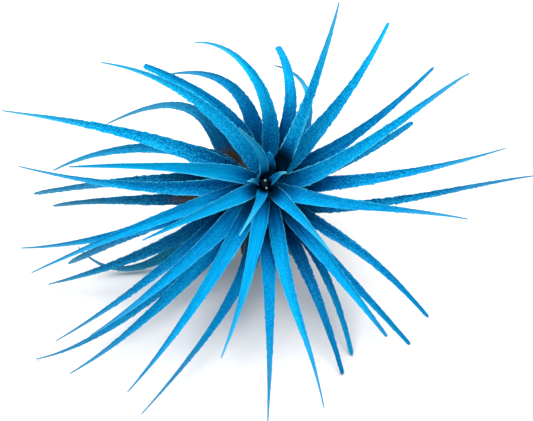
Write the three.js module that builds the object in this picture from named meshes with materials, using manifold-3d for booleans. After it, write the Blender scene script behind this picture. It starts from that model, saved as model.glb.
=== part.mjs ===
// Sky plant: a dyed air plant, a rosette of narrow channelled leaves on a short stem.
// Millimetres, +Z up. The origin is the middle of the flat spot under the stem's foot.
// Azimuth 0 looks along +Y, and the rosette opens towards -Y and up.

import * as THREE from 'three';
import { mergeVertices } from 'three/addons/utils/BufferGeometryUtils.js';
import Module from 'manifold-3d';

// Driving dimensions

const THROAT_HEIGHT = 32;          // the middle of the rosette above the surface
const THROAT_SETBACK = 12.5;       // the middle of the rosette in front of the foot
const LEAN = THREE.MathUtils.degToRad(40);   // the rosette's axis from the vertical
const SEAT_GAP = 0.3;              // a leaf's base stands this far off the stem

const FIRST_RING_BACK = 1.0;       // the innermost ring of leaves, behind the throat
const RING_PITCH = 2.0;            // from one ring of leaves to the next, along the axis
const CONE_TOP_RADIUS = 1.0;       // the stem at the throat
const CONE_FLARE = 0.32;           // gain of radius for each millimetre along the axis
const CONE_LENGTH = 20;            // the stem's leafy stretch
const CONE_SIDES = 20;

const FOOT_RADIUS = 6.9;           // the foot is an egg cut flat where it stands
const FOOT_BELLY_HEIGHT = 8;       // the height where the foot is widest
const FOOT_HALF_HEIGHT = 9.4;
const FOOT_STEPS = 10;

const BLADE_THICKNESS = 0.85;      // at the middle line near the root
const TIP_THICKNESS = 0.6;
const TIP_WIDTH = 0.7;             // at a tip that comes to a point
const TAPER = 1.3;                 // power of the taper: above 1 the outer half is slender
const LEAF_CHANNEL = [0.1, 0.2];   // depth as a share of the width, at the root and further out
const NECK_SHARE = 0.8;            // width at the very base, as a share of the full width
const WIDEST_AT = 0.16;            // share of the length where a leaf is widest
const LEAF_STATIONS = 12;
const RESTING_TIP_HEIGHT = 0.45;   // the middle line of a tip that lies on the surface

const CONE_SHEATH_WIDTH = 5.6;
const SHEATH_CHANNEL = [0.1, 0.14];
const SHEATH_NECK_SHARE = 0.85;
const SHEATH_TIP_WIDTH = 1.1;
const SHEATH_STATIONS = 6;
const CONE_SHEATH_BACK = 19.6;     // behind the throat, below the last ring of leaves

// Materials

const freshBlue = new THREE.MeshStandardMaterial({ color: 0x0c96dc, roughness: 0.6, metalness: 0 });
const deepBlue = new THREE.MeshStandardMaterial({ color: 0x0a6fb0, roughness: 0.75, metalness: 0 });
const tealBlue = new THREE.MeshStandardMaterial({ color: 0x2a8fb2, roughness: 0.75, metalness: 0 });
const dryBrown = new THREE.MeshStandardMaterial({ color: 0x6a5040, roughness: 0.85, metalness: 0 });

// The rosette's own directions: to the right, up across its face, and out along its axis.
// A place in the rosette is [right, up, out] in millimetres from the throat.

const across = new THREE.Vector3(1, 0, 0);
const upward = new THREE.Vector3(0, Math.cos(LEAN), Math.sin(LEAN));
const outward = new THREE.Vector3(0, -Math.sin(LEAN), Math.cos(LEAN));
const throat = new THREE.Vector3(0, -THROAT_SETBACK, THROAT_HEIGHT);

function place([right, up, out]) {
  return throat.clone()
    .addScaledVector(across, right)
    .addScaledVector(upward, up)
    .addScaledVector(outward, out);
}

// A tip without an "out" value lies on the surface: its place along the axis follows from that.
function tipPlace([right, up, out]) {
  const resting = (RESTING_TIP_HEIGHT - THROAT_HEIGHT - up * Math.sin(LEAN)) / Math.cos(LEAN);
  return place([right, up, out ?? resting]);
}

// The leaves, ring by ring from the throat outwards. bearing is the base's place round the
// axis in degrees, counter-clockwise from the right. via is a place half way along the leaf;
// a leaf that bends two ways has near and far instead, a third and two thirds along.
// tipWidth is given for a leaf that ends bluntly.

const leaves = [
  { name: 'leaf_01_bud_left', ring: 0, bearing: 170, width: 1.7,
    via: [-2.3, 1, 7], tip: [-3.9, 0.8, 13] },
  { name: 'leaf_02_bud_right', ring: 0, bearing: 9, width: 2,
    via: [3.2, 2.3, 8], tip: [5, 2.9, 13] },
  { name: 'leaf_03_bud_low', ring: 0, bearing: 250, width: 2.6,
    via: [-2, -5.4, 12], tip: [-5.8, -11.6, 22] },
  { name: 'leaf_04_bud_high', ring: 0, bearing: 60, width: 2.1,
    tipWidth: 1, via: [2.0, 4.8, 0.6], tip: [0.9, 7.7, 3.3] },

  { name: 'leaf_05_high', ring: 1, bearing: 117, width: 2.7,
    near: [-0.8, 7.1, 9.4], far: [-3.9, 11, 18], tip: [-5.5, 12.6, 27.5] },
  { name: 'leaf_06_low_right', ring: 1, bearing: 325, width: 3.6,
    via: [8.7, -7.9, 14], tip: [15.2, -15.6, 26] },
  { name: 'leaf_07_left', ring: 1, bearing: 205, width: 3.8,
    via: [-14.9, -6.7, 17], tip: [-27.3, -12.4, 30] },

  { name: 'leaf_08_low', ring: 2, bearing: 265, width: 3.9,
    via: [-4, -21.9, 17], tip: [-9.8, -39, 28] },
  { name: 'leaf_09_high', ring: 2, bearing: 45, width: 4.2,
    near: [8.1, 13.8, 8.9], far: [13.5, 29.3, 17.9], tip: [17, 41.7, 22] },
  { name: 'leaf_10_left', ring: 2, bearing: 152, width: 3.2,
    near: [-17.3, 4, 9.1], far: [-33.4, 4.4, 17.4], tip: [-44.9, 4.1, 20] },
  { name: 'leaf_11_right', ring: 2, bearing: 346, width: 3.7,
    near: [15.8, -4, 9.1], far: [31.4, -5.8, 17.4], tip: [46.7, -7.9, 20] },

  { name: 'leaf_12_low_left', ring: 3, bearing: 237, width: 4.4,
    via: [-15.8, -27.1, 12], tip: [-31.8, -48, 16] },
  { name: 'leaf_13_low', ring: 3, bearing: 300, width: 3.9,
    near: [5.5, -23, 8], far: [9.5, -35.6, 15], tip: [13.8, -51.9, 16] },
  { name: 'leaf_14_right', ring: 3, bearing: 10, width: 4.3,
    near: [18.9, 6.3, 6.4], far: [35.7, 17.8, 14.1], tip: [47.4, 25.8, 16] },
  { name: 'leaf_15_high_left', ring: 3, bearing: 112, width: 4.3,
    near: [-11.4, 16.2, 6], far: [-23.8, 24.3, 12], tip: [-38.5, 28.7, 10] },
  { name: 'leaf_16_left', ring: 3, bearing: 190, width: 3.8,
    via: [-30.4, -10.2, 12], tip: [-54, -20.4, 16] },

  { name: 'leaf_17_left', ring: 4, bearing: 178, width: 4.2,
    via: [-29.3, -0.4, 8], tip: [-57.7, 4.4, 12] },
  { name: 'leaf_18_low_left', ring: 4, bearing: 224, width: 4.4,
    via: [-21.9, -21.3, 9], tip: [-40.7, -35.2, 12] },
  { name: 'leaf_19_low', ring: 4, bearing: 270, width: 4.4,
    via: [1.2, -29.5, 7.5], tip: [0.7, -56, 11] },
  { name: 'leaf_20_low_right', ring: 4, bearing: 315, width: 4.1,
    tipWidth: 0.8, via: [17.2, -20.8, 8], tip: [28.7, -35.6, 10] },
  { name: 'leaf_21_high_right', ring: 4, bearing: 44, width: 4.2,
    tipWidth: 0.8, via: [18.1, 19.9, 7.5], tip: [29.1, 38.1, 10] },
  { name: 'leaf_22_right', ring: 4, bearing: 358, width: 4.1,
    via: [29.5, 2.1, 8], tip: [56.5, 8.6, 12] },

  { name: 'leaf_23_left', ring: 5, bearing: 156, width: 4.4,
    near: [-24.9, 10.1, 1.1], far: [-43.6, 14.6, 7.5], tip: [-62.1, 17.5, 8] },
  { name: 'leaf_24_left', ring: 5, bearing: 198, width: 4.2,
    via: [-33.3, -11.3, 3], tip: [-58, -15, 5] },
  { name: 'leaf_25_low_left', ring: 5, bearing: 239, width: 4.3,
    via: [-25.3, -28.9, 3.5], tip: [-46.3, -44.8, 6] },
  { name: 'leaf_26_low_right', ring: 5, bearing: 314, width: 3.5, tipWidth: 0.9,
    near: [17.6, -12.4, -0.6], far: [28.1, -20.3, 3.6], tip: [39, -31.6, 4] },
  { name: 'leaf_27_high_right', ring: 5, bearing: 30, width: 4.3,
    tipWidth: 0.7, via: [21.9, 12.2, 2.5], tip: [40.3, 28, 4] },
  { name: 'leaf_28_high', ring: 5, bearing: 84, width: 4.2,
    near: [0.4, 20.1, 0], far: [-6.6, 30.6, 1.7], tip: [-17.2, 34.6, -6] },

  { name: 'leaf_29_left', ring: 6, bearing: 170, width: 3.8,
    tipWidth: 1, via: [-29.9, 1, -1], tip: [-55.6, -2.2, 0] },
  { name: 'leaf_30_low_left', ring: 6, bearing: 213, width: 3.7,
    via: [-27.4, -22.2, 0], tip: [-50, -37.4, 2] },
  { name: 'leaf_31_low', ring: 6, bearing: 257, width: 3.9,
    near: [-5.6, -22.5, -2.7], far: [-15.6, -38.3, 3.7], tip: [-29.3, -54.5, 6] },
  { name: 'leaf_32_low_right', ring: 6, bearing: 300, width: 3.2,
    tipWidth: 1, via: [18.9, -21.1, 0.5], tip: [35.1, -38.6, -2] },
  { name: 'leaf_33_right', ring: 6, bearing: 335, width: 3.4,
    near: [19.8, -5.3, -3.9], far: [44.5, -1.4, 1.5], tip: [65, 2.2, 4] },
  { name: 'leaf_34_high_left', ring: 6, bearing: 125, width: 4.4,
    tipWidth: 1.3, near: [-8.7, 16.3, -2.6], far: [-19.8, 24.3, 1.4], tip: [-29, 28.6, 0] },
  { name: 'leaf_35_high', ring: 6, bearing: 62, width: 4.1,
    tipWidth: 1.6, near: [6.1, 17, -3.7], far: [5.9, 26.5, -3.7], tip: [3.1, 34.2, -13] },

  { name: 'leaf_36_left', ring: 7, bearing: 196, width: 3.7,
    tipWidth: 1.3, via: [-26.6, -9.6, -5], tip: [-47.9, -19.2, -6] },
  { name: 'leaf_37_low_left', ring: 7, bearing: 228, width: 3.5,
    via: [-31.5, -30.5, -3], tip: [-55.7, -42.4] },
  { name: 'leaf_38_low', ring: 7, bearing: 268, width: 3.2,
    via: [-1.4, -15.9, -9.8], tip: [-3.1, -22.5, -13.6] },
  { name: 'leaf_39_low_right', ring: 7, bearing: 298, width: 3.8,
    tipWidth: 1, via: [12, -25.5, -1.5], tip: [18.9, -45.8] },
  { name: 'leaf_40_right', ring: 7, bearing: 8, width: 3.1,
    tipWidth: 1.3, via: [20.9, 6.1, -3], tip: [36, 15.2, -4] },
  { name: 'leaf_41_high', ring: 7, bearing: 54, width: 3,
    near: [9.6, 13, -8.1], far: [10.4, 22.9, -8.8], tip: [2.2, 29.8, -16.5] },
  { name: 'leaf_42_high', ring: 7, bearing: 104, width: 4.5,
    via: [-7.4, 23.2, -3], tip: [-23.6, 27, -8] },
  { name: 'leaf_43_left', ring: 7, bearing: 155, width: 4,
    near: [-20.7, 8.7, -7], far: [-37.5, 8.1, -4], tip: [-52.3, 3.4, -12] },

  { name: 'leaf_44_low_left', ring: 8, bearing: 211, width: 4.2,
    near: [-24.1, -14.4, -12.2], far: [-41.7, -21.3, -13.3], tip: [-54.4, -25] },
  { name: 'leaf_45_low_right', ring: 8, bearing: 303, width: 2.9,
    tipWidth: 1.1, via: [14.2, -20.7, -7], tip: [21.3, -41.5] },
  { name: 'leaf_46_high_left', ring: 8, bearing: 150, width: 4.8,
    near: [-11.9, 12.1, -10.3], far: [-19.9, 19, -5], tip: [-39.6, 14.8, -14] },
  { name: 'leaf_47_left', ring: 8, bearing: 180, width: 4.1,
    tipWidth: 0.9, near: [-21.8, -3.3, -12], far: [-35.9, -3.8, -9], tip: [-52, -5.2, -8] },

  { name: 'leaf_48_low_left', ring: 9, bearing: 222, width: 4.6,
    near: [-18.9, -14.3, -21], far: [-33.4, -21, -22], tip: [-46.9, -15.3, -18] },
];

// Dry sheaths of old leaves. Those on the cone take their bearing round the rosette's axis,
// like the leaves; those on the foot take it round the vertical, with 270 to the front.
// reach is how far a sheath stands out from its root, and rise how far it lifts on the way.

const coneSheaths = [
  { name: 'dry_sheath_01_right', bearing: 330, reach: 6.5, rise: 2.5 },
  { name: 'dry_sheath_02_right', bearing: 12, reach: 7.5, rise: 4 },
  { name: 'dry_sheath_03_back', bearing: 54, reach: 6, rise: 4.5 },
  { name: 'dry_sheath_04_back', bearing: 96, reach: 7, rise: 3.5 },
  { name: 'dry_sheath_05_left', bearing: 138, reach: 6.2, rise: 3 },
  { name: 'dry_sheath_06_left', bearing: 180, reach: 6.4, rise: 1.5 },
];

// On the foot, via and tip are [distance from the upright axis, height].

const footSheaths = [
  { name: 'dry_sheath_07_front', bearing: 246, width: 6.6, from: 5.5, via: [10.2, 6.2], tip: [13.2, 3] },
  { name: 'dry_sheath_08_front', bearing: 301, width: 6.6, from: 6, via: [10.4, 6.4], tip: [13.6, 2.8] },
  { name: 'dry_sheath_09_right', bearing: 8, width: 7.6, from: 2.6, via: [8.3, 8.6], tip: [9.8, 14.2] },
  { name: 'dry_sheath_10_back', bearing: 88, width: 7.6, from: 2.2, via: [8.2, 8.4], tip: [9.5, 14.6] },
  { name: 'dry_sheath_11_left', bearing: 168, width: 7.6, from: 2.8, via: [8.3, 8.6], tip: [10.2, 13.4] },
];

// A blade's middle line: a curve of the second degree through one place half way along, or
// of the third degree through two places, a third and two thirds along.

function middleLine(root, through, tip) {
  const [near, far] = through;
  if (!far) {
    const knee = near.clone().multiplyScalar(2)
      .addScaledVector(root, -0.5)
      .addScaledVector(tip, -0.5);
    return new THREE.QuadraticBezierCurve3(root, knee, tip);
  }
  const first = near.clone().multiplyScalar(3)
    .addScaledVector(far, -1.5)
    .addScaledVector(root, -5 / 6)
    .addScaledVector(tip, 1 / 3);
  const second = far.clone().multiplyScalar(3)
    .addScaledVector(near, -1.5)
    .addScaledVector(tip, -5 / 6)
    .addScaledVector(root, 1 / 3);
  return new THREE.CubicBezierCurve3(root, first, second, tip);
}

// A blade: a six-cornered channelled section carried along its middle line. side is the
// blade's width direction at its root. It turns with the line, with no twist.

function blade({ root, through, tip, side, width, tipWidth, neck, channel, stations }) {
  const curve = middleLine(root, through, tip);
  const firstTangent = curve.getTangent(0);
  const rootSide = side.clone().addScaledVector(firstTangent, -side.dot(firstTangent)).normalize();
  const positions = [];
  for (let i = 0; i < stations; i++) {
    const s = i / (stations - 1);
    const centre = curve.getPoint(s);
    const tangent = curve.getTangent(s);
    const turn = -rootSide.dot(tangent) / (1 + firstTangent.dot(tangent));
    const wide = rootSide.clone().addScaledVector(firstTangent, turn).addScaledVector(tangent, turn);
    const face = tangent.clone().cross(wide);
    const half = bladeWidth(s, width, tipWidth, neck) / 2;
    const thick = THREE.MathUtils.lerp(BLADE_THICKNESS, TIP_THICKNESS, s);
    const rise = 2 * half * THREE.MathUtils.lerp(channel[0], channel[1], Math.min(1, 4 * s));
    const section = [
      [-half, rise],
      [0, 0],
      [half, rise],
      [half, rise - thick * 0.8],
      [0, -thick],
      [-half, rise - thick * 0.8],
    ];
    for (const [u, v] of section) {
      const point = centre.clone().addScaledVector(wide, u).addScaledVector(face, v);
      positions.push(point.x, point.y, point.z);
    }
  }
  return closedSweep(positions, stations);
}

// Width along a blade: a neck at the root, the full width a little way out, then an even taper.

function bladeWidth(s, width, tipWidth, neck) {
  if (s < WIDEST_AT) {
    return width * THREE.MathUtils.lerp(neck, 1, Math.sin((s / WIDEST_AT) * Math.PI / 2));
  }
  const along = (s - WIDEST_AT) / (1 - WIDEST_AT);
  return THREE.MathUtils.lerp(tipWidth, width, (1 - along) ** TAPER);
}

// Joins the six-cornered stations into one closed surface, with both ends filled.

function closedSweep(positions, stations) {
  const corners = 6;
  const index = [];
  for (let i = 0; i < stations - 1; i++) {
    for (let j = 0; j < corners; j++) {
      const a = i * corners + j;
      const b = i * corners + (j + 1) % corners;
      index.push(a, b + corners, b, a, a + corners, b + corners);
    }
  }
  const last = (stations - 1) * corners;
  for (const [start, flip] of [[0, true], [last, false]]) {
    for (const [a, b, c] of [[0, 4, 1], [0, 5, 4], [1, 3, 2], [1, 4, 3]]) {
      index.push(start + a, ...(flip ? [start + c, start + b] : [start + b, start + c]));
    }
  }
  const geometry = new THREE.BufferGeometry();
  geometry.setAttribute('position', new THREE.Float32BufferAttribute(positions, 3));
  geometry.setIndex(index);
  geometry.computeVertexNormals();
  return geometry;
}

// A leaf's root on the stem's cone, at its ring and bearing, facing out of the rosette.

function leafGeometry({ ring, bearing, width, tipWidth = TIP_WIDTH, via, near, far, tip }) {
  const back = FIRST_RING_BACK + ring * RING_PITCH;
  const radius = coneRadius(back) + SEAT_GAP + BLADE_THICKNESS * 0.75;
  const angle = THREE.MathUtils.degToRad(bearing);
  const side = across.clone().multiplyScalar(-Math.sin(angle)).addScaledVector(upward, Math.cos(angle));
  return blade({
    root: place([radius * Math.cos(angle), radius * Math.sin(angle), -back]),
    through: via ? [place(via)] : [place(near), place(far)],
    tip: tipPlace(tip),
    side,
    width,
    tipWidth,
    neck: NECK_SHARE,
    channel: LEAF_CHANNEL,
    stations: LEAF_STATIONS,
  });
}

// A dry sheath: a short broad blade on the stem. axis is the stem's own direction there, and
// root, via and tip are [distance from the axis, place along it] from the point middle.

function sheathGeometry({ middle, axis, out, root, via, tip, width }) {
  const at = ([distance, along]) => middle.clone()
    .addScaledVector(out, distance)
    .addScaledVector(axis, along);
  return blade({
    root: at(root),
    through: [at(via)],
    tip: at(tip),
    side: axis.clone().cross(out),
    width,
    tipWidth: SHEATH_TIP_WIDTH,
    neck: SHEATH_NECK_SHARE,
    channel: SHEATH_CHANNEL,
    stations: SHEATH_STATIONS,
  });
}

function coneSheathGeometry({ bearing, reach, rise }) {
  const angle = THREE.MathUtils.degToRad(bearing);
  const radius = coneRadius(CONE_SHEATH_BACK) + SEAT_GAP + BLADE_THICKNESS * 0.5;
  return sheathGeometry({
    middle: throat,
    axis: outward,
    out: across.clone().multiplyScalar(Math.cos(angle)).addScaledVector(upward, Math.sin(angle)),
    root: [radius, -CONE_SHEATH_BACK],
    via: [radius + reach * 0.5, rise * 0.5 + reach * 0.14 - CONE_SHEATH_BACK],
    tip: [radius + reach, rise - CONE_SHEATH_BACK],
    width: CONE_SHEATH_WIDTH,
  });
}

function footSheathGeometry({ bearing, width, from, via, tip }) {
  const angle = THREE.MathUtils.degToRad(bearing);
  return sheathGeometry({
    middle: new THREE.Vector3(),
    axis: new THREE.Vector3(0, 0, 1),
    out: new THREE.Vector3(Math.cos(angle), Math.sin(angle), 0),
    root: [footRadius(from) + 2 * SEAT_GAP, from],
    via,
    tip,
    width,
  });
}

// The stem: a cone along the rosette's axis that carries the leaves, and an upright foot.

const wasm = await Module();
wasm.setup();

function solid(geometry) {
  geometry.deleteAttribute('normal');
  geometry.deleteAttribute('uv');
  const merged = mergeVertices(geometry);
  return new wasm.Manifold(new wasm.Mesh({
    numProp: 3,
    vertProperties: merged.attributes.position.array,
    triVerts: new Uint32Array(merged.index.array),
  }));
}

function geometryOf(body) {
  const mesh = body.getMesh();
  const geometry = new THREE.BufferGeometry();
  geometry.setAttribute('position', new THREE.BufferAttribute(mesh.vertProperties, 3));
  geometry.setIndex(new THREE.BufferAttribute(mesh.triVerts, 1));
  geometry.computeVertexNormals();
  return geometry;
}

function coneRadius(back) {
  return CONE_TOP_RADIUS + CONE_FLARE * back;
}

function footRadius(height) {
  return FOOT_RADIUS * Math.sqrt(1 - ((height - FOOT_BELLY_HEIGHT) / FOOT_HALF_HEIGHT) ** 2);
}

function stemGeometry() {
  const coneEnd = coneRadius(CONE_LENGTH);
  const cone = new THREE.LatheGeometry([
    new THREE.Vector2(0, -CONE_LENGTH - 3),
    new THREE.Vector2(coneEnd * 0.6, -CONE_LENGTH - 2.4),
    new THREE.Vector2(coneEnd * 0.88, -CONE_LENGTH - 1.2),
    new THREE.Vector2(coneRadius(CONE_LENGTH - 0.5), -CONE_LENGTH + 0.5),
    new THREE.Vector2(CONE_TOP_RADIUS, 0),
    new THREE.Vector2(CONE_TOP_RADIUS * 0.4, 0.8),
    new THREE.Vector2(0, 1),
  ], CONE_SIDES);
  // A lathe turns round +Y. Its +Y becomes the rosette's axis.
  cone.applyMatrix4(new THREE.Matrix4().makeBasis(across, outward, upward.clone().negate()));
  cone.translate(throat.x, throat.y, throat.z);
  const top = FOOT_BELLY_HEIGHT + FOOT_HALF_HEIGHT;
  const profile = [new THREE.Vector2(0, 0)];
  for (let i = 0; i < FOOT_STEPS; i++) {
    const height = top * i / FOOT_STEPS;
    profile.push(new THREE.Vector2(footRadius(height), height));
  }
  profile.push(new THREE.Vector2(0, top));
  const foot = new THREE.LatheGeometry(profile, CONE_SIDES);
  foot.rotateX(Math.PI / 2);
  return geometryOf(solid(cone).add(solid(foot)));
}

// The plant

function named(name, geometry, material) {
  const mesh = new THREE.Mesh(geometry, material);
  mesh.name = name;
  return mesh;
}

function leafMaterial(ring) {
  if (ring <= 4) {
    return freshBlue;
  }
  return ring <= 6 ? deepBlue : tealBlue;
}

const plant = new THREE.Group();
plant.add(named('stem', stemGeometry(), dryBrown));
for (const leaf of leaves) {
  plant.add(named(leaf.name, leafGeometry(leaf), leafMaterial(leaf.ring)));
}
for (const sheath of coneSheaths) {
  plant.add(named(sheath.name, coneSheathGeometry(sheath), dryBrown));
}
for (const sheath of footSheaths) {
  plant.add(named(sheath.name, footSheathGeometry(sheath), dryBrown));
}

export default plant;
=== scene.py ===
import math

import bpy
import numpy as np
from mathutils import Matrix


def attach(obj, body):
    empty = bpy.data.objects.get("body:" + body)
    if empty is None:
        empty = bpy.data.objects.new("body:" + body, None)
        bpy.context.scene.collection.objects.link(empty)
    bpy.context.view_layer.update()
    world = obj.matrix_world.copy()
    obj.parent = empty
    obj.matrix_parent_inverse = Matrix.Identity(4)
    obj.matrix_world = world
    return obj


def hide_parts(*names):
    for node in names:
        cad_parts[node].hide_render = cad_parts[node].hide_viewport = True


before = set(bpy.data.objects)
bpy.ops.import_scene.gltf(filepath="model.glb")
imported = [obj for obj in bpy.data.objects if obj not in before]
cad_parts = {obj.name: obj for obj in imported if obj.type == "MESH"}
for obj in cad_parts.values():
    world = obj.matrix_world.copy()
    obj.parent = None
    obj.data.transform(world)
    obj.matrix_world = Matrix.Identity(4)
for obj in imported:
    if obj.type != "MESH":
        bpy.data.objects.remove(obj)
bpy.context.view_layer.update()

# Sky plant: a dyed air plant, a rosette of narrow channelled leaves on a short brown stem.
# Lengths here are in millimetres, and every mesh is brought to metres as it is made.

MM = 0.001
rng = np.random.default_rng(4807)

# The rosette's own directions: to the right, up across its face, and out along its axis.

LEAN = math.radians(40)
ACROSS = np.array([1.0, 0.0, 0.0])
UPWARD = np.array([0.0, math.cos(LEAN), math.sin(LEAN)])
OUTWARD = np.array([0.0, -math.sin(LEAN), math.cos(LEAN)])
THROAT = np.array([0.0, -12.5, 32.0])

# The stem, as in the solid model: a cone along the rosette's axis, which widens by its flare
# with the distance behind the throat, and an upright foot rounded as an ellipse.

CONE_TOP_RADIUS = 1.0
CONE_FLARE = 0.32
CONE_LENGTH = 20.0
FOOT_RADIUS = 6.9
FOOT_BELLY_HEIGHT = 8.0
FOOT_HALF_HEIGHT = 9.4

# The blades, as in the solid model. A neck is a share of the full width, and a channel is the
# depth of the hollow as a share of the width, at the root and from a quarter of the way on.

SEAT_GAP = 0.3
FIRST_RING_BACK = 1.0
RING_PITCH = 2.0
BLADE_THICKNESS = 0.85
TIP_THICKNESS = 0.6
WIDEST_AT = 0.16
TAPER = 1.3
RESTING_TIP_HEIGHT = 0.45
LEAF_NECK = 0.8
LEAF_CHANNEL = (0.1, 0.2)
SHEATH_NECK = 0.85
SHEATH_CHANNEL = (0.1, 0.14)
SHEATH_TIP_WIDTH = 1.1
CONE_SHEATH_BACK = 19.6
CONE_SHEATH_WIDTH = 5.6
CONE_SHEATH_ARCH = 0.14

# The leaves, ring by ring from the throat outwards, as in the solid model: base ring, bearing
# round the axis, width, width of the tip, the places that the leaf passes through, and its tip.
# Places are to the right, up and out from the throat. A tip with no out lies on the surface.

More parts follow.
